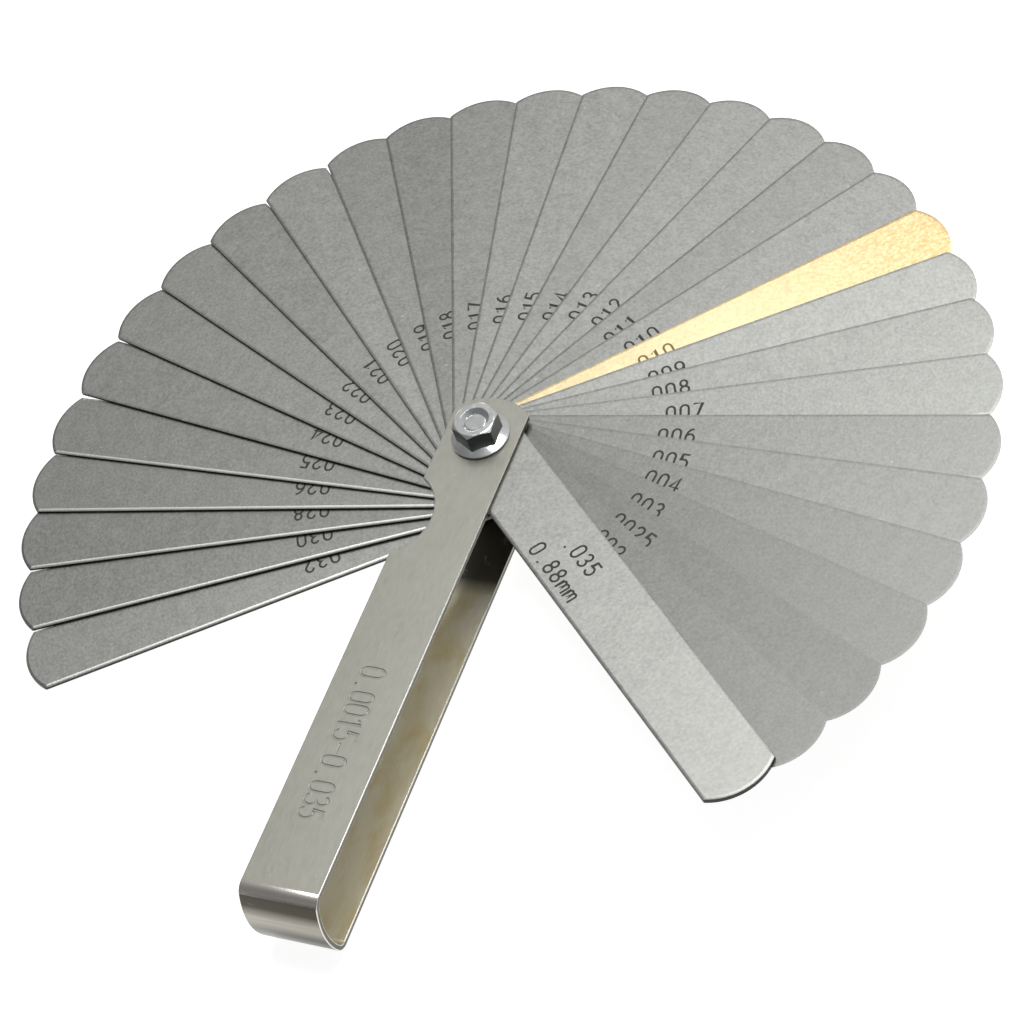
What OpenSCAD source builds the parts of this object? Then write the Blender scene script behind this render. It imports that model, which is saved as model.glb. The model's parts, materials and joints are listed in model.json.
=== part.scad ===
// Feeler gauge: a stack of thickness leaves that fan out about one pivot, in a U-bent strap holder.
// The pivot is the Z axis, the holder runs along -Y, and Z = 0 is the flat end of the bolt's head.

/* [Leaves] */
// Width of every leaf
leaf_w = 12.7; // [9:0.1:20]
// Distance from the pivot to the tip of a leaf
leaf_reach = 85.5; // [60:0.5:120]
// How far the rounded tip stands out past its two corners
tip_crown = 2.3; // [0.5:0.1:4]
// Gap between one leaf and the next
leaf_gap = 0.01; // [0.005:0.005:0.03]

/* [Fan] */
// Turn of the lowest leaf away from the holder, in degrees
fan_first = 54; // [0:0.5:90]
// Turn from each leaf to the next, in degrees
fan_step = 8.63; // [0:0.01:9]
// How far the middle of the fan runs ahead of even steps, in degrees
fan_bow = 1; // [0:0.1:3]

/* [Holder] */
// Thickness of the strap
strap_t = 0.9; // [0.6:0.1:1.6]
// How far each edge of the strap stands out past the leaves
side_lap = 0.35; // [0:0.05:1.5]
// Distance from the pivot to the rounded free ends of the strap
front_reach = 8.2; // [7:0.1:14]
// How far each free end stands out past its two corners
front_crown = 2.7; // [0.5:0.1:5]
// Distance from the stowed tips to the start of the bend
tip_room = 2.1; // [0.5:0.1:8]
// Inner radius of the bend's two corners
bend_corner_r = 1.4; // [0.5:0.1:3]
// Inner radius of the bend's shallow back
bend_back_r = 14; // [9:0.5:40]
// Distance from the pivot to the middle of the finger notch
notch_at = 17.6; // [15:0.2:60]
// Radius of the finger notch
notch_r = 9; // [6:0.5:14]
// Depth of the finger notch
notch_depth = 4.4; // [2:0.1:5.5]

/* [Pivot] */
// Diameter of the bolt's shank
pivot_d = 4; // [3:0.1:5]
// Radial clearance of each leaf on the shank
leaf_fit = 0.05; // [0.02:0.01:0.1]
// Radial clearance of the strap on the shank
strap_fit = 0.1; // [0.05:0.05:0.2]
// Radial clearance of the nut's thread on the shank
thread_fit = 0.02; // [0.01:0.01:0.05]
// Width of the bolt's head across its flats
head_af = 7; // [6:0.1:9]
// Height of the bolt's head
head_h = 2.2; // [1.5:0.1:4]
// Width of the nut across its flats
nut_af = 7; // [6.2:0.1:8]
// Height of the nut
nut_h = 4.4; // [3.4:0.1:6]
// Diameter of the nut's flange
flange_d = 10; // [9.5:0.1:13]
// Height of the flange's straight rim
flange_rim = 0.5; // [0.3:0.1:1]
// Height of the flange's cone above the rim
flange_cone = 0.9; // [0.3:0.1:1.5]
// Width of the chamfer around the nut's hole
mouth_w = 0.45; // [0.2:0.05:0.6]
// How far the end of the bolt lies below the top of the nut
end_sink = 0.7; // [0:0.1:1.5]
// Size of the chamfer on the end of the bolt
end_chamfer = 0.35; // [0.1:0.05:0.5]
// Slope of the chamfer on the corners of the head and nut, in degrees
corner_slope = 30; // [15:1:45]

/* [Hidden] */
$fn = 96;
MM_PER_THOU = 0.0254;
HEX = 6;
FLAT_SHARE = 0.96;
CUT = 1;

// Leaf thicknesses from the nut side down, in thousandths of an inch
thou = [35, 1.5, 2, 2.5, each [3 : 10], each [10 : 26], 28, 30, 32];
leaf_count = len(thou);
last = leaf_count - 1;
// The upper one of the two leaves of 0.010 inch is the brass one
brass_leaf = 11;

// Places in the fan, counted from the lowest leaf, that lie off the even spacing by these degrees
nudges = [[3, -0.4], [4, -0.5], [5, -0.2], [9, 0.2], [10, 0.5], [21, -0.4], [22, -1], [23, -0.9],
          [24, -0.5], [25, -0.2], [28, 0.2], [30, -1.7]];

function sum(list, from = 0) = from < len(list) ? list[from] + sum(list, from + 1) : 0;
function leaf_t(i) = thou[i] * MM_PER_THOU;
// Digits of a leaf's size after the decimal point, such as 0025 or 014
function digits(v) = str(v < 10 ? "00" : "0", v == floor(v) ? v : 10 * v);
function leaf_name(i) = str("leaf_", digits(thou[i]), i == brass_leaf ? "_brass" : "");

strap_w = leaf_w + 2 * side_lap;
channel_z = head_h + strap_t;
channel_h = sum([for (i = [0 : last]) leaf_t(i) + leaf_gap]) + leaf_gap;
front_z = channel_z + channel_h;
nut_z = front_z + strap_t;
end_z = nut_z + nut_h - end_sink;
bend_start = leaf_reach + tip_room;

function leaf_z(i) = channel_z + leaf_gap + sum([for (k = [i + 1 : 1 : last]) leaf_t(k) + leaf_gap]);

// The top leaf lies straight above the second one, so both take the last place in the fan
top_place = last - 1;
function place(i) = min(last - i, top_place);
function nudge(n) = sum([for (pair = nudges) pair[0] == n ? pair[1] : 0]);
function fan_turn(n) = fan_first + fan_step * n + fan_bow * sin(180 * n / (top_place - 1)) + nudge(n);

// Radius of an end that stands out by crown over a strip of this width
function crown_r(width, crown) = (pow(width / 2, 2) + pow(crown, 2)) / (2 * crown);

// Flat strip along X from -back, with a shallow round end at reach
module strip(back, reach, crown, width) {
    r = crown_r(width, crown);
    translate([-back, -width / 2]) square([back + reach - r, width]);
    translate([reach - r, 0])
    intersection() {
        circle(r);
        translate([-CUT, -width / 2]) square([r + CUT, width]);
    }
}

module leaf(i) {
    color(i == brass_leaf ? "gold" : "silver")
    translate([0, 0, leaf_z(i)])
    rotate([0, 0, -90 - fan_turn(place(i))])
    linear_extrude(leaf_t(i))
    difference() {
        union() {
            circle(leaf_w / 2);
            strip(0, leaf_reach, tip_crown, leaf_w);
        }
        circle(pivot_d / 2 + leaf_fit);
    }
}

// Part of a ring about the origin, wall thick outside radius r, between two directions in degrees
module ring_part(r, wall, from, to) {
    far = 2 * (r + wall);
    intersection() {
        difference() {
            circle(r + wall);
            circle(r);
        }
        polygon([[0, 0], for (a = [from, (from + to) / 2, to]) far * [cos(a), sin(a)]]);
    }
}

// Side view of the strap, from its free ends at the left to its bend at the right
module strap_side() {
    half_h = channel_h / 2;
    corner_z = half_h - bend_corner_r;
    tilt = asin(corner_z / (bend_back_r - bend_corner_r));
    back_x = bend_start - (bend_back_r - bend_corner_r) * cos(tilt);
    for (z = [half_h, -half_h - strap_t])
        translate([-front_reach, z]) square([front_reach + bend_start, strap_t]);
    translate([bend_start, corner_z]) ring_part(bend_corner_r, strap_t, tilt, 90);
    translate([back_x, 0]) ring_part(bend_back_r, strap_t, -tilt, tilt);
    translate([bend_start, -corner_z]) ring_part(bend_corner_r, strap_t, -90, -tilt);
}

module holder() {
    all_h = channel_h + 2 * strap_t + 2 * CUT;
    color("lightgray")
    difference() {
        intersection() {
            translate([0, 0, channel_z + channel_h / 2])
            rotate([90, 0, -90])
            linear_extrude(strap_w, center = true) strap_side();
            translate([0, 0, head_h - CUT])
            rotate([0, 0, 90])
            linear_extrude(all_h) strip(bend_start + bend_back_r, front_reach, front_crown, strap_w);
        }
        translate([0, 0, head_h - CUT]) cylinder(h = all_h, r = pivot_d / 2 + strap_fit);
        translate([notch_depth - strap_w / 2 - notch_r, -notch_at, head_h - CUT]) cylinder(h = all_h, r = notch_r);
    }
}

// Hexagon block with its top corners chamfered
module hex_block(af, height) {
    flat_r = FLAT_SHARE * af / 2;
    intersection() {
        cylinder(h = height, d = af / cos(180 / HEX), $fn = HEX);
        cylinder(h = height, r1 = flat_r + height / tan(corner_slope), r2 = flat_r);
    }
}

module pivot_bolt() {
    color("silver")
    union() {
        translate([0, 0, head_h]) mirror([0, 0, 1]) hex_block(head_af, head_h);
        translate([0, 0, head_h - CUT]) cylinder(h = end_z - end_chamfer - head_h + CUT, d = pivot_d);
        translate([0, 0, end_z - end_chamfer])
            cylinder(h = end_chamfer, d1 = pivot_d, d2 = pivot_d - 2 * end_chamfer);
    }
}

module flange_nut() {
    bore_d = pivot_d + 2 * thread_fit;
    color("gainsboro")
    translate([0, 0, nut_z])
    difference() {
        union() {
            cylinder(h = flange_rim, d = flange_d);
            translate([0, 0, flange_rim]) cylinder(h = flange_cone, d1 = flange_d, d2 = nut_af);
            rotate([0, 0, 32]) hex_block(nut_af, nut_h);
        }
        translate([0, 0, -CUT]) cylinder(h = nut_h + 2 * CUT, d = bore_d);
        translate([0, 0, nut_h - mouth_w]) cylinder(h = mouth_w, d1 = bore_d, d2 = bore_d + 2 * mouth_w);
    }
}

holder();
pivot_bolt();
flange_nut();
for (i = [0 : last]) leaf(i);
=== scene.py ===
import json
import math
import bmesh
import bpy
from mathutils import Matrix, Vector


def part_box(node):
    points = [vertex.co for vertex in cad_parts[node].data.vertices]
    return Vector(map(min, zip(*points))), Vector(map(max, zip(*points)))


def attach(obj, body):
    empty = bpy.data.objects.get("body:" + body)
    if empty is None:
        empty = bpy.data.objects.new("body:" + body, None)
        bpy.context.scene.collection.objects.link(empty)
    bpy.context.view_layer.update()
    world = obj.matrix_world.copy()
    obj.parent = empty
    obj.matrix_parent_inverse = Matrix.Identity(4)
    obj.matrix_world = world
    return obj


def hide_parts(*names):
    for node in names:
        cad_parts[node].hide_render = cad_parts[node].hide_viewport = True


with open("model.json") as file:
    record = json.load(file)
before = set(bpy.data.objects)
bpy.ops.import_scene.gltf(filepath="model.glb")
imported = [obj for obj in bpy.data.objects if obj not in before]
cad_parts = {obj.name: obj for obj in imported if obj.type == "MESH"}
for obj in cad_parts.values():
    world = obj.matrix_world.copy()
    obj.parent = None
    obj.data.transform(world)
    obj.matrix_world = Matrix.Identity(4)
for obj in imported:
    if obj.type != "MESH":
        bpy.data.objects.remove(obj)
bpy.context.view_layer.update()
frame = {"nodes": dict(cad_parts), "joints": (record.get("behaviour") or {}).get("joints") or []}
print("frame loaded:", len(frame["nodes"]), "nodes")

millimetre = 0.001
rootBody = "holder_body"
scene = bpy.context.scene
joints = {joint["child"]: joint for joint in frame["joints"]}


# Meshes are made in millimetres and brought to metres by finishPiece

def arcPoints(cx, cy, rx, ry, start, end, steps):
    angles = [math.radians(start + (end - start) * k / steps) for k in range(steps + 1)]
    return [(cx + rx * math.cos(a), cy + ry * math.sin(a)) for a in angles]


def addRing(bm, points, z):
    return [bm.verts.new((x, y, z)) for x, y in points]


def bridgeRings(bm, lower, upper, slot=0):
    count = len(lower)
    for k in range(count):
        n = (k + 1) % count
        bm.faces.new((lower[k], lower[n], upper[n], upper[k])).material_index = slot


def fillBetween(bm, rings, normal, slot=0):
    edges = []
    for ring in rings:
        for k, vert in enumerate(ring):
            other = ring[(k + 1) % len(ring)]
            edges.append(bm.edges.get((vert, other)) or bm.edges.new((vert, other)))
    made = bmesh.ops.triangle_fill(bm, edges=edges, use_beauty=True, normal=normal)
    for item in made["geom"]:
        if isinstance(item, bmesh.types.BMFace):
            item.material_index = slot


def newObject(name, bm, materials=()):
    mesh = bpy.data.meshes.new(name)
    bmesh.ops.recalc_face_normals(bm, faces=bm.faces)
    bm.to_mesh(mesh)
    bm.free()
    for material in materials:
        mesh.materials.append(material)
    piece = bpy.data.objects.new(name, mesh)
    scene.collection.objects.link(piece)
    return piece


def applyModifiers(piece):
    depsgraph = bpy.context.evaluated_depsgraph_get()
    made = bpy.data.meshes.new_from_object(piece.evaluated_get(depsgraph), depsgraph=depsgraph)
    old = piece.data
    piece.modifiers.clear()
    piece.data = made
    bpy.data.meshes.remove(old)


def cutWith(piece, cutter, selfCrossing=False):
    cut = piece.modifiers.new("cut", "BOOLEAN")
    cut.operation = "DIFFERENCE"
    cut.solver = "EXACT"
    cut.use_self = selfCrossing
    cut.material_mode = "TRANSFER"
    cut.object = cutter
    applyModifiers(piece)
    mesh = cutter.data
    bpy.data.objects.remove(cutter)
    bpy.data.meshes.remove(mesh)


def finishPiece(piece, body, nodes, sharpAngle=30.0):
    piece.data.transform(Matrix.Scale(millimetre, 4))
    piece.data.shade_smooth()
    piece.data.set_sharp_from_angle(angle=math.radians(sharpAngle))
    for polygon in piece.data.polygons:
        if abs(polygon.normal.z) > 0.999999:
            polygon.use_smooth = False
    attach(piece, body)
    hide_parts(*nodes)


# Single-line digits, drawn in units of their height as lines (x, y)
# and elliptical arcs (centre x, centre y, radius x, radius y, start, end)

glyphs = {
    "0": [("arc", 0.31, 0.72, 0.25, 0.28, 0, 180), ("arc", 0.31, 0.28, 0.25, 0.28, 180, 360), ("close",)],
    "1": [("line", 0.12, 0.80), ("line", 0.36, 1.0), ("line", 0.36, 0.0)],
    "2": [("arc", 0.31, 0.73, 0.24, 0.27, 165, -35), ("line", 0.06, 0.0), ("line", 0.57, 0.0)],
    "3": [("arc", 0.29, 0.76, 0.22, 0.24, 150, -90), ("arc", 0.29, 0.26, 0.26, 0.26, 90, -150)],
    "4": [("line", 0.44, 0.0), ("line", 0.44, 1.0), ("line", 0.04, 0.26), ("line", 0.59, 0.26)],
    "5": [("line", 0.52, 1.0), ("line", 0.14, 1.0), ("line", 0.10, 0.54),
          ("arc", 0.29, 0.31, 0.26, 0.31, 110, -150)],
    "6": [("arc", 0.50, 0.31, 0.45, 0.69, 95, 180), ("arc", 0.31, 0.31, 0.26, 0.31, 180, 540)],
    "7": [("line", 0.05, 1.0), ("line", 0.57, 1.0), ("line", 0.22, 0.0)],
    "8": [("arc", 0.31, 0.76, 0.21, 0.24, -90, 270), ("arc", 0.31, 0.26, 0.26, 0.26, 90, 450)],
    "9": [("arc", 0.12, 0.69, 0.45, 0.69, -85, 0), ("arc", 0.31, 0.69, 0.26, 0.31, 0, 360)],
    ".": [("line", 0.30, 0.0), ("line", 0.34, 0.02)],
    "-": [("line", 0.06, 0.45), ("line", 0.56, 0.45)],
    "m": [("line", 0.04, 0.0), ("line", 0.04, 0.64), ("arc", 0.19, 0.50, 0.15, 0.16, 170, 0),
          ("line", 0.34, 0.0), ("line", 0.34, 0.45), ("arc", 0.49, 0.50, 0.15, 0.16, 170, 0),
          ("line", 0.64, 0.0)],
}


samePoint = 0.01


def glyphPath(strokes, arcStep=22.5):
    points, closed = [], False
    for stroke in strokes:
        if stroke[0] == "line":
            points.append(stroke[1:])
        elif stroke[0] == "arc":
            steps = max(2, round(abs(stroke[6] - stroke[5]) / arcStep))
            points += arcPoints(*stroke[1:], steps)
        else:
            closed = True
    kept = [p for k, p in enumerate(points) if k == 0 or math.dist(p, points[k - 1]) > samePoint]
    if closed and math.dist(kept[0], kept[-1]) < samePoint:
        kept.pop()
    return kept, closed


cutterRod = {
    "sides": 8,
    "lift": 0.12,
    "endReach": 0.6,
    "mostSpread": 1.6,
    "leastTurn": 0.35,
}


def addText(bm, text, look, place):
    # Flat elliptical rods along each digit's line, centred a hair above the face that they cut
    rod = cutterRod
    sides = rod["sides"]
    half, depth, height = look["stroke"] / 2, look["depth"], look["height"]
    for index, letter in enumerate(text):
        path, closed = glyphPath(glyphs[letter])
        left = index * look["advance"]
        path = [Vector((x * height * look["narrow"] + left, y * height)) for x, y in path]
        rings = []
        for k, point in enumerate(path):
            before = path[k - 1] if k or closed else None
            after = path[(k + 1) % len(path)] if closed or k + 1 < len(path) else None
            way = ((after or point) - (before or point)).normalized()
            spread = 1.0
            if before and after:
                turnCos = (point - before).normalized().dot((after - point).normalized())
                spread = min(rod["mostSpread"], 1 / max(rod["leastTurn"], math.sqrt((1 + turnCos) / 2)))
            start = point - way * half * rod["endReach"] if before is None else point
            start = point + way * half * rod["endReach"] if after is None else start
            side = Vector((-way.y, way.x)) * half * spread
            ring = []
            for s in range(sides):
                a = 2 * math.pi * (s + 0.5) / sides
                spot = start + side * math.cos(a)
                z = depth * (rod["lift"] + math.sin(a))
                ring.append(bm.verts.new(place @ Vector((spot.x, spot.y, z))))
            rings.append(ring)
        for k in range(len(rings) - (0 if closed else 1)):
            bridgeRings(bm, rings[k], rings[(k + 1) % len(rings)])
        if not closed:
            bm.faces.new(rings[0])
            bm.faces.new(rings[-1])


# Node groups that several finishes share

def addSocket(tree, name, kind, output=False, value=None):
    way = "OUTPUT" if output else "INPUT"
    socket = tree.interface.new_socket(name=name, in_out=way, socket_type=kind)
    if value is not None:
        socket.default_value = value
    return socket


def node(tree, kind, inputs=None, **settings):
    made = tree.nodes.new(kind)
    for name, value in settings.items():
        setattr(made, name, value)
    for name, value in (inputs or {}).items():
        if isinstance(value, bpy.types.NodeSocket):
            tree.links.new(value, made.inputs[name])
        else:
            made.inputs[name].default_value = value
    return made


def math2(tree, operation, a, b, clamp=False):
    return node(tree, "ShaderNodeMath", {0: a, 1: b}, operation=operation, use_clamp=clamp).outputs[0]


grainShape = {
    "streakDetail": 2.5,
    "blotchDetail": 3.0,
    "streakShare": 0.76,
    "blotchShare": 0.24,
    "speckScale": 1100.0,
    "speckFrom": 0.76,
    "speckGain": 22.0,
}
# The grain's tone swings between these two values
toneLow = 0.3
toneHigh = 0.7
bumpDistance = 0.00002


def scaledBy(tree, where, scale):
    return node(tree, "ShaderNodeVectorMath", {0: where, 1: scale}, operation="MULTIPLY").outputs[0]


def noise4(tree, at, seed, detail, roughness):
    inputs = {"Vector": at, "W": seed, "Scale": 1.0, "Detail": detail, "Roughness": roughness}
    return node(tree, "ShaderNodeTexNoise", inputs, noise_dimensions="4D").outputs[0]


def makeRolledGrain():
    # Fine streaks left by the rolls: a value about 0.5 for the tone and a height for the bump
    grain = grainShape
    tree = bpy.data.node_groups.new("rolledGrain", "ShaderNodeTree")
    addSocket(tree, "Streaks", "NodeSocketVector", value=(900, 2600, 900))
    addSocket(tree, "Blotches", "NodeSocketVector", value=(160, 220, 160))
    addSocket(tree, "Seed", "NodeSocketFloat", value=0.0)
    addSocket(tree, "Tone", "NodeSocketFloat", output=True)
    addSocket(tree, "Height", "NodeSocketFloat", output=True)
    addSocket(tree, "Specks", "NodeSocketFloat", output=True)
    start = tree.nodes.new("NodeGroupInput")
    end = tree.nodes.new("NodeGroupOutput")
    where = node(tree, "ShaderNodeTexCoord").outputs["Object"]
    seed = start.outputs["Seed"]
    streakAt = scaledBy(tree, where, start.outputs["Streaks"])
    blotchAt = scaledBy(tree, where, start.outputs["Blotches"])
    speckAt = scaledBy(tree, where, (grain["speckScale"],) * 3)
    streak = noise4(tree, streakAt, seed, grain["streakDetail"], 0.55)
    blotch = noise4(tree, blotchAt, seed, grain["blotchDetail"], 0.55)
    speck = noise4(tree, speckAt, seed, 1.0, 0.4)
    lifted = math2(tree, "SUBTRACT", speck, grain["speckFrom"])
    specks = math2(tree, "MULTIPLY", lifted, grain["speckGain"], clamp=True)
    fine = math2(tree, "MULTIPLY", streak, grain["streakShare"])
    broad = math2(tree, "MULTIPLY", blotch, grain["blotchShare"])
    tree.links.new(math2(tree, "ADD", fine, broad), end.inputs["Tone"])
    tree.links.new(streak, end.inputs["Height"])
    tree.links.new(specks, end.inputs["Specks"])
    return tree


rolledGrain = makeRolledGrain()


def newMaterial(name):
    material = bpy.data.materials.new(name)
    material.use_nodes = True
    tree = material.node_tree
    tree.nodes.clear()
    output = tree.nodes.new("ShaderNodeOutputMaterial")
    shader = tree.nodes.new("ShaderNodeBsdfPrincipled")
    tree.links.new(shader.outputs[0], output.inputs["Surface"])
    return material, tree, shader


def shade(colour, factor):
    return tuple(c * factor for c in colour[:3]) + (1.0,)


def mapRange(tree, value, fromMin, fromMax, toMin=0.0, toMax=1.0):
    inputs = {"Value": value, "From Min": fromMin, "From Max": fromMax, "To Min": toMin, "To Max": toMax}
    return node(tree, "ShaderNodeMapRange", inputs).outputs[0]


def mixColour(tree, factor, first, second):
    # Each of the two is a colour or another node's output
    mix = node(tree, "ShaderNodeMix", {"Factor": factor}, data_type="RGBA")
    for name, colour in (("A", first), ("B", second)):
        if isinstance(colour, bpy.types.NodeSocket):
            tree.links.new(colour, mix.inputs[name])
        else:
            mix.inputs[name].default_value = colour
    return mix.outputs["Result"]


def rolledMetal(name, look):
    material, tree, shader = newMaterial(name)
    grain = node(tree, "ShaderNodeGroup", node_tree=rolledGrain)
    grain.inputs["Streaks"].default_value = look["streaks"]
    grain.inputs["Blotches"].default_value = look["blotches"]
    grain.inputs["Seed"].default_value = look["seed"]
    tone = grain.outputs["Tone"]
    dark, light = (shade(look["colour"], 1 + swing) for swing in (-look["toneSwing"], look["toneSwing"]))
    body = mixColour(tree, mapRange(tree, tone, toneLow, toneHigh), dark, light)
    colour = mixColour(tree, grain.outputs["Specks"], body, shade(look["colour"], 1.0 + look["speckle"]))
    smoothest, roughest = (look["roughness"] + swing for swing in (-look["roughSwing"], look["roughSwing"]))
    bumpInputs = {"Height": grain.outputs["Height"], "Strength": look["bump"], "Distance": bumpDistance}
    tree.links.new(colour, shader.inputs["Base Color"])
    tree.links.new(mapRange(tree, tone, toneLow, toneHigh, smoothest, roughest), shader.inputs["Roughness"])
    tree.links.new(node(tree, "ShaderNodeBump", bumpInputs).outputs[0], shader.inputs["Normal"])
    shader.inputs["Metallic"].default_value = look["metal"]
    return material


def stainAndPaintedLightMetal(name, look, *patches):
    # Rolled metal with cloudy patches over it, some real stains and some painted light and shade, each of
    # which sets in along one axis
    material = rolledMetal(name, look)
    tree = material.node_tree
    shader = next(n for n in tree.nodes if n.type == "BSDF_PRINCIPLED")
    where = node(tree, "ShaderNodeTexCoord").outputs["Object"]
    apart = node(tree, "ShaderNodeSeparateXYZ", {"Vector": where})
    for patch in patches:
        cloudInputs = {"Vector": scaledBy(tree, where, patch["stretch"]), "Scale": 1.0, "Detail": 5.0,
                       "Roughness": 0.6, "Distortion": 0.4}
        cloud = node(tree, "ShaderNodeTexNoise", cloudInputs).outputs[0]
        amount = mapRange(tree, cloud, patch["from"], patch["to"], 0.0, patch["most"])
        along = apart.outputs[patch["axis"]]
        reach = mapRange(tree, along, patch["startAt"], patch["endAt"], patch["least"])
        share = math2(tree, "MULTIPLY", amount, reach)
        clean = shader.inputs["Base Color"].links[0].from_socket
        patched = mixColour(tree, share, clean, shade(patch["colour"], 1.0))
        tree.links.new(patched, shader.inputs["Base Color"])
    return material


leafLook = {
    "colour": (0.368, 0.372, 0.352),
    "streaks": (2300.0, 1800.0, 1500.0),
    "blotches": (420.0, 300.0, 300.0),
    "toneSwing": 0.21,
    "speckle": 0.40,
    "roughness": 0.45,
    "roughSwing": 0.04,
    "bump": 0.40,
    "metal": 1.0,
    "seed": 0.0,
}
brassLook = dict(leafLook, colour=(0.96, 0.80, 0.50), toneSwing=0.12, roughness=0.38)
brassStain = {
    "stretch": (1300.0, 1800.0, 900.0),
    "from": 0.30,
    "to": 0.64,
    "most": 0.9,
    "colour": (0.70, 0.43, 0.17),
    "axis": "X",
    "startAt": 0.045,
    "endAt": 0.085,
    "least": 0.12,
}
# The leaves' side walls are dark as painted shade between the leaves; some leaves get a lighter painted
# shade, brass ones a brown one
edgeShadeLook = dict(leafLook, colour=(0.035, 0.034, 0.032), toneSwing=0.3, speckle=2.0, roughness=0.5,
                metal=0.7)
etchLook = dict(leafLook, colour=(0.05, 0.05, 0.05), toneSwing=0.4, speckle=1.5, roughness=0.65, metal=0.3)

leafEdgeShade = rolledMetal("leafEdgeShade", edgeShadeLook)
# Painted highlight on the long sides of the thickest leaves' broken edges
leafEdgeHighlight = rolledMetal("leafEdgeHighlight", dict(leafLook, colour=(0.74, 0.74, 0.71), toneSwing=0.10))
leafEdgeHalfShade = rolledMetal("leafEdgeHalfShade", dict(edgeShadeLook, colour=(0.28, 0.28, 0.27)))
leafEdgeBrassShade = rolledMetal("leafEdgeBrassShade", dict(edgeShadeLook, colour=(0.20, 0.13, 0.05)))
etchedMark = rolledMetal("etchedMark", etchLook)
brassMark = rolledMetal("brassMark", dict(etchLook, colour=(0.30, 0.20, 0.09)))
print("leaf finishes made")


leafShape = {
    "width": 12.7,
    "reach": 85.5,
    "tipCrown": 2.3,
    "cornerRound": 0.45,
    "holeDiameter": 4.1,
    "rollover": 0.5,
    "rolloverDrop": 0.045,
    "rolloverShare": 0.08,
    "lipShare": 0.12,
    "lipFoot": 1.8,
}
# Rings of a broken edge, from its foot up: (inset, drop below the face as a share of the break)
brokenRings = [(0, 1.5), (0.06, 1.0), (0.28, 0.35)]
brokenFaceFrom = 1.3
leafText = {
    "height": 2.75,
    "narrow": 1.0,
    "advance": 2.30,
    "stroke": 0.42,
    "depth": 0.012,
    "inchStart": 27.1,
    "inchSide": 0.6,
    "metricStart": 25.2,
    "metricSide": -4.9,
}
# Painted light and shade, with some real difference in finish: how light each leaf's steel is beside the
# others, set for how the light catches each leaf
shadeAndToneByNode = {
    "leaf_035": 1.02, "leaf_0015": 0.88, "leaf_002": 0.60, "leaf_0025": 0.60, "leaf_003": 0.61,
    "leaf_004": 0.69, "leaf_005": 0.78, "leaf_006": 0.78, "leaf_009": 1.13, "leaf_011": 0.93,
    "leaf_017": 0.94, "leaf_018": 0.81, "leaf_019": 0.94, "leaf_020": 1.02, "leaf_021": 0.93,
    "leaf_023": 0.93, "leaf_024": 0.92, "leaf_025": 0.90, "leaf_026": 0.86, "leaf_028": 0.86,
    "leaf_030": 0.86,
}
# Each size was printed by hand a little off its place: (along the leaf, across it)
printShift = {
    "leaf_035": (0.6, -0.5), "leaf_002": (0.0, 0.4), "leaf_004": (0.2, 0.5), "leaf_007": (1.2, 0.0),
    "leaf_008": (-0.5, 0.4), "leaf_011": (-0.7, 0.0), "leaf_012": (1.1, 0.0), "leaf_013": (1.0, 0.0),
}
# Leaves whose side walls get the lighter painted shade
halfShadedLeaves = ["leaf_006", "leaf_007", "leaf_008", "leaf_010", "leaf_012", "leaf_013", "leaf_014",
             "leaf_015", "leaf_017"]
# The thickest leaves have their edges broken further, as drop below the face
brokenEdge = {"leaf_025": 0.12, "leaf_026": 0.13, "leaf_028": 0.15, "leaf_030": 0.16, "leaf_032": 0.16}
millimetresPerThou = 0.025


def leafOutline(inset):
    # Straight sides, a round heel about the pivot and a shallow round tip with softened corners
    shape = leafShape
    half = shape["width"] / 2 - inset
    tipRadius = ((shape["width"] / 2) ** 2 + shape["tipCrown"] ** 2) / (2 * shape["tipCrown"]) - inset
    tipX = shape["reach"] - inset - tipRadius
    soft = shape["cornerRound"]
    softY = half - soft
    softX = tipX + math.sqrt((tipRadius - soft) ** 2 - softY ** 2)
    lean = math.degrees(math.atan2(softY, softX - tipX))
    points = arcPoints(0, 0, half, half, 90, 270, 36)
    points += arcPoints(softX, -softY, soft, soft, -90, -lean, 5)
    points += arcPoints(tipX, 0, tipRadius, tipRadius, -lean, lean, 28)[1:-1]
    points += arcPoints(softX, softY, soft, soft, lean, 90, 5)
    return points


def holeOutline():
    radius = leafShape["holeDiameter"] / 2
    return arcPoints(0, 0, radius, radius, 0, 360, 48)[:-1]


def makeLeaf(name, materials, thickness, broken):
    # Each level is a ring of the blade's side: (inset, height)
    shape = leafShape
    over = shape["rollover"]
    drop = min(shape["rolloverDrop"], thickness * shape["rolloverShare"])
    lip = over * shape["lipShare"]
    foot = drop * shape["lipFoot"]
    bm = bmesh.new()
    levels = [(over, 0), (lip, drop), (0, foot)]
    if broken:
        levels += [(inset, thickness - broken * share) for inset, share in brokenRings]
    else:
        levels += [(0, thickness - foot), (lip, thickness - drop)]
    levels.append((over, thickness))
    outer = [addRing(bm, leafOutline(inset), z) for inset, z in levels]
    inner = [addRing(bm, holeOutline(), z) for z in (0, thickness)]
    for k in range(len(levels) - 1):
        bridgeRings(bm, outer[k], outer[k + 1], 1 if k == 2 else 0)
    # The long sides' faces are centred near the middle of the leaf; on a broken edge they take a painted
    # highlight
    middle = shape["reach"] / 2
    for part in bm.faces:
        centre = part.calc_center_median()
        onTop = centre.z > thickness - broken * brokenFaceFrom
        if broken and onTop and abs(centre.x - middle) < 5:
            part.material_index = 3
    bridgeRings(bm, inner[0], inner[1], 1)
    fillBetween(bm, [outer[0], inner[0]], (0, 0, -1))
    fillBetween(bm, [outer[-1], inner[1]], (0, 0, 1))
    return newObject(name, bm, materials)


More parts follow.
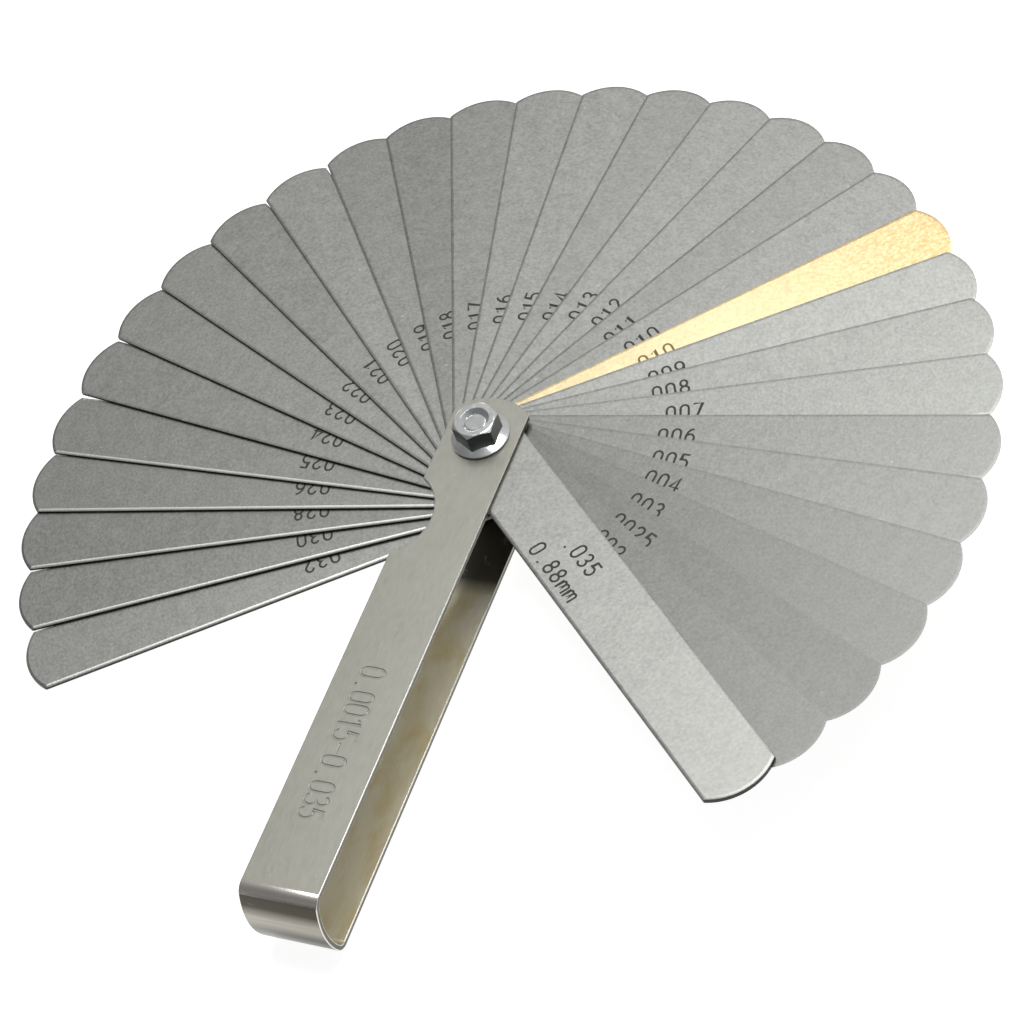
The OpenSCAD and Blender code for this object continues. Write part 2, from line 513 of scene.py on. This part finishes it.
def sizeTexts(name):
    # leaf_0025 is 0.0025 inch, printed with its rounded metric size
    digits = name.split("_")[1]
    thou = float("0." + digits) * 1000
    metric = math.floor(thou * millimetresPerThou * 100 + 0.5) / 100
    return "." + digits, f"{metric:.2f}mm"


toneDrift = 0.03
driftStep = 2.4
seedStep = 3.7


def makeLeafOf(nodeName, number):
    low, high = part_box(nodeName)
    thickness = (high.z - low.z) / millimetre
    bodyName = nodeName + "_body"
    turned = joints[bodyName]["range_deg"][1]
    isBrass = nodeName.endswith("brass")
    tone = shadeAndToneByNode.get(nodeName, 1.0) * (1 + toneDrift * math.sin(number * driftStep))
    base = brassLook if isBrass else leafLook
    look = dict(base, seed=float(number) * seedStep, colour=shade(base["colour"], tone)[:3])
    faceName = nodeName + "_face"
    face = stainAndPaintedLightMetal(faceName, look, brassStain) if isBrass else rolledMetal(faceName, look)
    # The side walls take painted shade, lighter on the leaves listed for it
    edge = leafEdgeBrassShade if isBrass else leafEdgeHalfShade if nodeName in halfShadedLeaves else leafEdgeShade
    mark = brassMark if isBrass else etchedMark
    broken = brokenEdge.get(nodeName, 0.0)
    finishes = [face, edge, mark, leafEdgeHighlight] if broken else [face, edge, mark]
    leaf = makeLeaf(nodeName + "_blade", finishes, thickness, broken)
    cutLook = dict(leafText, depth=min(leafText["depth"], thickness / 4))
    inchText, metricText = sizeTexts(nodeName)
    along, across = printShift.get(nodeName, (0.0, 0.0))
    inchAt = (leafText["inchStart"] + along, leafText["inchSide"] + across, thickness)
    metricAt = (leafText["metricStart"], leafText["metricSide"], thickness)
    cutter = bmesh.new()
    addText(cutter, inchText, cutLook, Matrix.Translation(inchAt))
    addText(cutter, metricText, cutLook, Matrix.Translation(metricAt))
    cutWith(leaf, newObject("sizeCutter", cutter, [mark]), True)
    fanned = Matrix.Rotation(math.radians(-90 - turned), 4, "Z")
    leaf.matrix_world = Matrix.Translation((0, 0, low.z)) @ fanned
    finishPiece(leaf, bodyName, [nodeName])


leafNodes = [n for n in frame["nodes"] if n.startswith("leaf_")]
for number, nodeName in enumerate(leafNodes):
    makeLeafOf(nodeName, number)
print("leaves made:", len(leafNodes))


strapShape = {
    "thickness": 0.9,
    "width": 13.4,
    "frontReach": 8.2,
    "frontCrown": 2.7,
    "bendStart": 87.6,
    "cornerRadius": 1.4,
    "backRadius": 14.0,
    "notchAt": 17.6,
    "notchRadius": 9.0,
    "notchDepth": 4.4,
    "holeDiameter": 4.2,
    "edgeRound": 0.14,
}
strapText = {
    "words": "0.0015-0.035",
    "height": 4.2,
    "narrow": 0.84,
    "advance": 2.40,
    "stroke": 0.42,
    "depth": 0.12,
    "start": 47.0,
    "side": -2.5,
}
strapLook = {
    "colour": (0.368, 0.364, 0.322),
    "streaks": (2400.0, 500.0, 2400.0),
    "blotches": (120.0, 60.0, 120.0),
    "toneSwing": 0.06,
    "speckle": 0.2,
    "roughness": 0.40,
    "roughSwing": 0.04,
    "bump": 0.2,
    "metal": 1.0,
    "seed": 5.0,
}


def strapSide(bottom, top):
    # Outer and inner lines of the strap's side view, free end to free end
    # A point is (distance from the pivot, height)
    shape = strapShape
    middle, halfHeight = (bottom + top) / 2, (top - bottom) / 2 - shape["thickness"]
    corner, back = shape["cornerRadius"], shape["backRadius"]
    cornerZ = halfHeight - corner
    tilt = math.degrees(math.asin(cornerZ / (back - corner)))
    backX = shape["bendStart"] - (back - corner) * math.cos(math.radians(tilt))
    lines = []
    for wall in (shape["thickness"], 0.0):
        line = [(-shape["frontReach"], middle + halfHeight + wall)]
        small, large = corner + wall, back + wall
        line += arcPoints(shape["bendStart"], middle + cornerZ, small, small, 90, tilt, 20)
        line += arcPoints(backX, middle, large, large, tilt, -tilt, 16)[1:-1]
        line += arcPoints(shape["bendStart"], middle - cornerZ, small, small, -tilt, -90, 20)
        line.append((-shape["frontReach"], middle - halfHeight - wall))
        lines.append(line)
    return lines


def prism(name, points, low, high, materials):
    bm = bmesh.new()
    rings = [addRing(bm, points, z) for z in (low, high)]
    bridgeRings(bm, rings[0], rings[1])
    fillBetween(bm, [rings[0]], (0, 0, -1))
    fillBetween(bm, [rings[1]], (0, 0, 1))
    return newObject(name, bm, materials)


def makeStrap(finishes):
    # Slots: 0 face, 1 inside, 2 cut edge, 3 bend, 4 side wall
    shape = strapShape
    strapFace, strapEdgeHighlight = finishes[0], finishes[2]
    low, high = (corner.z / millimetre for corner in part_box("holder"))
    outer, inner = strapSide(low, high)
    bm = bmesh.new()
    half = shape["width"] / 2
    columns = []
    for x in (-half, half):
        columns.append([[bm.verts.new((x, -along, z)) for along, z in line] for line in (outer, inner)])
    (leftOut, leftIn), (rightOut, rightIn) = columns
    for k in range(len(outer) - 1):
        n = k + 1
        outSlot = 3 if 0 < k < len(outer) - 2 else 0
        bm.faces.new((leftOut[k], leftOut[n], rightOut[n], rightOut[k])).material_index = outSlot
        bm.faces.new((leftIn[k], rightIn[k], rightIn[n], leftIn[n])).material_index = 1
        bm.faces.new((leftOut[k], leftIn[k], leftIn[n], leftOut[n])).material_index = 4
        bm.faces.new((rightOut[k], rightOut[n], rightIn[n], rightIn[k])).material_index = 4
    for k in (0, len(outer) - 1):
        bm.faces.new((leftOut[k], rightOut[k], rightIn[k], leftIn[k])).material_index = 2
    strap = newObject("strap_holder", bm, finishes)
    # Free ends, finger notch and pivot holes are cut through both walls
    reach, crown = shape["frontReach"], shape["frontCrown"]
    radius = (half ** 2 + crown ** 2) / (2 * crown)
    lean = math.degrees(math.asin(half / radius))
    far = reach + 5
    out = half + 1
    endArc = arcPoints(0, reach - radius, radius, radius, 90 + lean, 90 - lean, 32)
    endCut = [(-out, far), (-out, endArc[0][1]), *endArc, (out, endArc[-1][1]), (out, far)]
    notchR, holeR = shape["notchRadius"], shape["holeDiameter"] / 2
    notchX = shape["notchDepth"] - half - notchR
    notch = arcPoints(notchX, -shape["notchAt"], notchR, notchR, 0, 360, 96)[:-1]
    hole = arcPoints(0, 0, holeR, holeR, 0, 360, 64)[:-1]
    for name, points in (("endCutter", endCut), ("notchCutter", notch), ("holeCutter", hole)):
        cutWith(strap, prism(name, points, low - 1, high + 1, [strapEdgeHighlight]))
    rounding = strap.modifiers.new("rounding", "BEVEL")
    rounding.width = shape["edgeRound"]
    rounding.segments = 3
    rounding.limit_method = "ANGLE"
    rounding.angle_limit = math.radians(40)
    rounding.material = 2
    applyModifiers(strap)
    cutter = bmesh.new()
    text = strapText
    alongStrap = Matrix.Rotation(math.radians(-90), 4, "Z")
    place = Matrix.Translation((text["side"], -text["start"], high)) @ alongStrap
    addText(cutter, text["words"], text, place)
    cutWith(strap, newObject("stampCutter", cutter, [strapFace]), True)
    finishPiece(strap, rootBody, ["holder"])


# Cloudy brown blotches over the inside
insideBrownBlotches = {
    "stretch": (260.0, 110.0, 260.0),
    "from": 0.45,
    "to": 0.70,
    "most": 0.65,
    "colour": (0.52, 0.43, 0.20),
    "axis": "X",
    "startAt": -0.007,
    "endAt": 0.0,
    "least": 0.9,
}
# Painted shade on the inside next to the leaves, within about 20 mm of the pivot
insidePaintedShade = {
    "stretch": (300.0, 300.0, 300.0),
    "from": 0.1,
    "to": 0.4,
    "most": 0.88,
    "colour": (0.03, 0.028, 0.022),
    "axis": "Y",
    "startAt": -0.0222,
    "endAt": -0.0190,
    "least": 0.0,
}
# Painted reflections on the bend: painted shade on its lower part, a dark band of painted reflection under
# the crease and a painted highlight along the crease
bendLowShade = {
    "stretch": (150.0, 900.0, 900.0),
    "from": 0.0,
    "to": 0.35,
    "most": 0.93,
    "colour": (0.05, 0.045, 0.035),
    "axis": "Z",
    "startAt": 0.0102,
    "endAt": 0.0078,
    "least": 0.0,
}
bendDarkReflection = dict(bendLowShade, startAt=0.0116, endAt=0.0138)
bendCreaseHighlight = dict(bendLowShade, most=0.95, colour=(1.0, 0.95, 0.89), startAt=0.0156, endAt=0.0161)
insideLook = dict(strapLook, roughness=0.45, colour=(0.64, 0.61, 0.51))
# The bend's colour is darker than the strap face's as painted shade
bendLook = dict(strapLook, streaks=(150.0, 2400.0, 2400.0), toneSwing=0.12, roughness=0.25,
                colour=(0.34, 0.32, 0.275))
makeStrap([
    rolledMetal("strapFace", strapLook),
    stainAndPaintedLightMetal("strapInside", insideLook, insideBrownBlotches, insidePaintedShade),
    # Painted highlight on the strap's rounded edges and cut ends
    rolledMetal("strapEdgeHighlight", dict(strapLook, colour=(0.66, 0.65, 0.58), roughness=0.28)),
    stainAndPaintedLightMetal("strapBend", bendLook, bendLowShade, bendDarkReflection, bendCreaseHighlight),
    # Painted shade on the strap's side walls
    rolledMetal("strapWallShade", dict(strapLook, colour=(0.12, 0.115, 0.10), toneSwing=0.2)),
])
print("strap made")


fastenerShape = {
    "flats": 7.0,
    "cornerRound": 0.22,
    "flatShare": 0.96,
    "slope": 30.0,
    "flangeDiameter": 10.0,
    "flangeRim": 0.5,
    "flangeCone": 0.55,
    "coneHollow": 1.6,
    "rimRound": 0.10,
    "mouth": 0.45,
    "nutTurn": 32.0,
    "thread": 4.0,
    "pitch": 0.7,
    "threadDepth": 0.38,
    "threadFit": 0.03,
    "threadLength": 6.0,
    "endChamfer": 0.35,
    "headHeight": 2.2,
}
zincLook = {
    "colour": (0.86, 0.88, 0.88),
    "streaks": (900.0, 900.0, 1400.0),
    "blotches": (500.0, 500.0, 500.0),
    "toneSwing": 0.06,
    "speckle": 0.15,
    "roughness": 0.20,
    "roughSwing": 0.05,
    "bump": 0.12,
    "metal": 1.0,
    "seed": 11.0,
}


rowsPerPitch = 12


def hexRadius(degrees, flats, softening):
    # Distance from the axis to a hexagon with softened corners, with a flat facing 30 degrees
    apothem = flats / 2
    offCorner = (degrees + 30) % 60 - 30
    a = math.radians(abs(offCorner))
    halfSide = math.radians(30)
    centre = (apothem - softening) / math.cos(halfSide)
    touch = math.atan2(softening * math.sin(halfSide), centre + softening * math.cos(halfSide))
    if a < touch:
        return centre * math.cos(a) + math.sqrt(softening ** 2 - (centre * math.sin(a)) ** 2)
    return apothem / math.cos(halfSide - a)


def ridge(turn):
    # Height of a thread's rounded ridge, 0 to 1, over one turn of 0 to 1
    wave = abs((turn % 1.0) * 2 - 1)
    return min(1.0, max(0.0, (wave - 0.12) / 0.72))


def flat(radius, z):
    return lambda degrees: (radius, z)


def latheRows(bm, rows, angles):
    # Rows are functions of the angle that give (radius, height)
    rings = []
    for row in rows:
        ring = []
        for degrees in angles:
            radius, z = row(degrees)
            a = math.radians(degrees)
            ring.append(bm.verts.new((radius * math.cos(a), radius * math.sin(a), z)))
        rings.append(ring)
    return rings


def hexRows(flats, height, fromZ):
    # The side and chamfered end of a hexagon, rising from fromZ(radius) to height
    shape = fastenerShape
    flatEnd = shape["flatShare"] * flats / 2
    slope = math.tan(math.radians(shape["slope"]))

    def side(share):
        def row(degrees):
            radius = hexRadius(degrees - shape["nutTurn"], flats, shape["cornerRound"])
            shoulder = height - slope * (radius - flatEnd)
            start = fromZ(radius)
            return radius, start + (shoulder - start) * share
        return row

    def chamfer(share):
        def row(degrees):
            radius = hexRadius(degrees - shape["nutTurn"], flats, shape["cornerRound"])
            radius += (flatEnd - radius) * share
            return radius, height - slope * (radius - flatEnd)
        return row
    rows = [side(share) for share in (0, 0.5, 0.94, 1.0)]
    rows += [chamfer(share) for share in (0.06, 0.5, 0.96)]
    return rows + [flat(flatEnd - 0.03, height)]


def makeNut(bright, sideShade):
    shape = fastenerShape
    low, high = (corner.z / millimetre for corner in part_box("flange_nut"))
    height = high - low
    rim, cone, soft = shape["flangeRim"], shape["flangeCone"], shape["rimRound"]
    outerR = shape["flangeDiameter"] / 2
    flats = shape["flats"]
    angles = [k * 2.5 for k in range(144)]
    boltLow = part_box("pivot_bolt")[0].z / millimetre

    def coneZ(radius):
        return rim + cone * ((outerR - radius) / (outerR - flats / 2)) ** shape["coneHollow"]

    def coneFoot(degrees):
        # Just short of where the cone meets the hexagon
        radius = hexRadius(degrees - shape["nutTurn"], flats, shape["cornerRound"])
        radius = outerR + (radius - outerR) * 0.96
        return radius, coneZ(radius)

    rows = [flat(shape["thread"] / 2 + 0.05, 0.0), flat(outerR - soft, 0.0)]
    for degrees in (30, 60, 90):
        a = math.radians(degrees)
        rows.append(flat(outerR - soft * (1 - math.sin(a)), soft * (1 - math.cos(a))))
    rows += [flat(outerR, rim - soft), flat(outerR - 0.04, rim - soft * 0.35)]
    rows += [flat(outerR - soft, coneZ(outerR - soft)), coneFoot]
    sideStart = len(rows)
    rows += hexRows(flats, height, coneZ)
    bore = shape["thread"] / 2 + shape["threadFit"]
    rows += [flat(bore + shape["mouth"] + 0.04, height), flat(bore + shape["mouth"] - 0.02, height - 0.03)]

    def threadRow(z):
        def row(degrees):
            turn = (z + low - boltLow) / shape["pitch"] - degrees / 360
            radius = bore - shape["threadDepth"] * ridge(turn)
            return max(radius, bore + z - (height - shape["mouth"])), z
        return row

    threaded = height - 0.08
    steps = round(threaded / (shape["pitch"] / rowsPerPitch))
    rows += [threadRow(height - 0.06 - threaded * k / steps) for k in range(steps + 1)]
    bm = bmesh.new()
    rings = latheRows(bm, rows, angles)
    # The flange rim and the hexagon's sides take the painted shade finish
    rimRow = 4
    for k in range(len(rings)):
        isSide = k == rimRow or sideStart <= k < sideStart + 3
        bridgeRings(bm, rings[k], rings[(k + 1) % len(rings)], 1 if isSide else 0)
    bmesh.ops.translate(bm, verts=bm.verts, vec=(0, 0, low))
    nut = newObject("flange_nut_zinc", bm, [bright, sideShade])
    finishPiece(nut, rootBody, ["flange_nut"], sharpAngle=24.0)


def makeBolt(bright):
    shape = fastenerShape
    low, high = (corner.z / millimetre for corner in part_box("pivot_bolt"))
    angles = [k * 3.75 for k in range(96)]
    headHeight, shankR = shape["headHeight"], shape["thread"] / 2
    threadStart = high - shape["threadLength"]

    def head(row):
        def flipped(degrees):
            radius, z = row(degrees)
            return radius, low + headHeight - z
        return flipped

    def threadRow(z):
        def row(degrees):
            turn = (z - low) / shape["pitch"] - degrees / 360
            run = min(1.0, max(0.0, (z - threadStart) / shape["pitch"]))
            radius = shankR - shape["threadDepth"] * run * (1 - ridge(turn))
            return min(radius, shankR - shape["endChamfer"] + (high - z)), z
        return row

    headRows = hexRows(shape["flats"], headHeight, lambda radius: 0.0)
    rows = [flat(0.6, low), flat(2.6, low)] + [head(row) for row in reversed(headRows)]
    rows += [flat(shankR + 0.05, low + headHeight), flat(shankR, low + headHeight + 0.05)]
    rows += [flat(shankR, z) for z in (low + headHeight + 2, threadStart - 0.05)]
    steps = round(shape["threadLength"] / (shape["pitch"] / rowsPerPitch))
    rows += [threadRow(threadStart + shape["threadLength"] * k / steps) for k in range(steps + 1)]
    rows += [flat(1.2, high), flat(0.5, high)]
    bm = bmesh.new()
    rings = latheRows(bm, rows, angles)
    for k in range(len(rings) - 1):
        bridgeRings(bm, rings[k], rings[k + 1])
    bm.faces.new(rings[0])
    bm.faces.new(rings[-1])
    bolt = newObject("pivot_bolt_zinc", bm, [bright])
    finishPiece(bolt, rootBody, ["pivot_bolt"], sharpAngle=24.0)


zincBright = rolledMetal("zincBright", zincLook)
# Painted shade: the nut's hexagon sides and flange rim are made dark
sideShadeLook = dict(zincLook, colour=(0.15, 0.16, 0.155), roughness=0.30, toneSwing=0.2)
zincSideShade = rolledMetal("zincSideShade", sideShadeLook)
makeNut(zincBright, zincSideShade)
makeBolt(zincBright)
print("nut and bolt made")


# Studio: pale floor, a soft sky and a broad panel

studio = {
    "floorSize": 6.0,
    "floorColour": (0.45, 0.45, 0.45, 1.0),
    "floorGlow": 0.88,
    "skyColour": (1.0, 1.0, 1.0, 1.0),
    "skyAxis": (0.30, 0.84, 0.45),
    "skyFade": (-0.1, 0.95),
    "skyDark": 0.17,
    "skyBright": 0.50,
    "panels": [
        # name, centre, size, watts
        ("topPanel", (0.06, 0.45, 1.35), 0.9, 13.0),
    ],
}


def makeFloor():
    bm = bmesh.new()
    bmesh.ops.create_grid(bm, x_segments=8, y_segments=8, size=studio["floorSize"] / 2)
    material, tree, shader = newMaterial("paleFloor")
    shader.inputs["Base Color"].default_value = studio["floorColour"]
    shader.inputs["Roughness"].default_value = 0.9
    shader.inputs["Emission Color"].default_value = (1.0, 1.0, 1.0, 1.0)
    shader.inputs["Emission Strength"].default_value = studio["floorGlow"]
    floor = newObject("floor", bm, [material])


def makePanel(name, centre, size, watts, target=(0.0, 0.0, 0.0)):
    light = bpy.data.lights.new(name, "AREA")
    light.shape = "SQUARE"
    light.size = size
    light.energy = watts
    lamp = bpy.data.objects.new(name, light)
    scene.collection.objects.link(lamp)
    lamp.location = centre
    lamp.rotation_euler = (Vector(target) - Vector(centre)).to_track_quat("-Z", "Y").to_euler()


def makeSky():
    # Brighter beyond the far side than over the near side
    world = bpy.data.worlds.new("studioSky")
    scene.world = world
    world.use_nodes = True
    tree = world.node_tree
    background = tree.nodes["Background"]
    background.inputs["Color"].default_value = studio["skyColour"]
    way = node(tree, "ShaderNodeTexCoord").outputs["Generated"]
    toward = node(tree, "ShaderNodeVectorMath", {0: way, 1: studio["skyAxis"]}, operation="DOT_PRODUCT")
    facing = toward.outputs["Value"]
    level = mapRange(tree, facing, *studio["skyFade"], studio["skyDark"], studio["skyBright"])
    tree.links.new(level, background.inputs["Strength"])


makeFloor()
for panel in studio["panels"]:
    makePanel(*panel)
makeSky()
scene.view_settings.view_transform = "Standard"
print("studio made")


cameraSetup = {
    "target": (0.00740, -0.00950, 0.01000),
    "azimuth": 37.41,
    "elevation": 49.30,
    "roll": -21.9,
    "distance": 0.4986,
    "lens": 106.8,
    "sensor": 36.0,
}


def makeCamera():
    setup = cameraSetup
    a, e = math.radians(setup["azimuth"]), math.radians(setup["elevation"])
    back = Vector((math.sin(a) * math.cos(e), -math.cos(a) * math.cos(e), math.sin(e)))
    data = bpy.data.cameras.new("camera")
    data.lens = setup["lens"]
    data.sensor_width = setup["sensor"]
    data.clip_start, data.clip_end = 0.01, 20.0
    camera = bpy.data.objects.new("camera", data)
    scene.collection.objects.link(camera)
    camera.rotation_mode = "QUATERNION"
    camera.location = Vector(setup["target"]) + back * setup["distance"]
    roll = Matrix.Rotation(math.radians(setup["roll"]), 4, "Z").to_quaternion()
    camera.rotation_quaternion = (-back).to_track_quat("-Z", "Y") @ roll
    scene.camera = camera


makeCamera()
print("camera set")
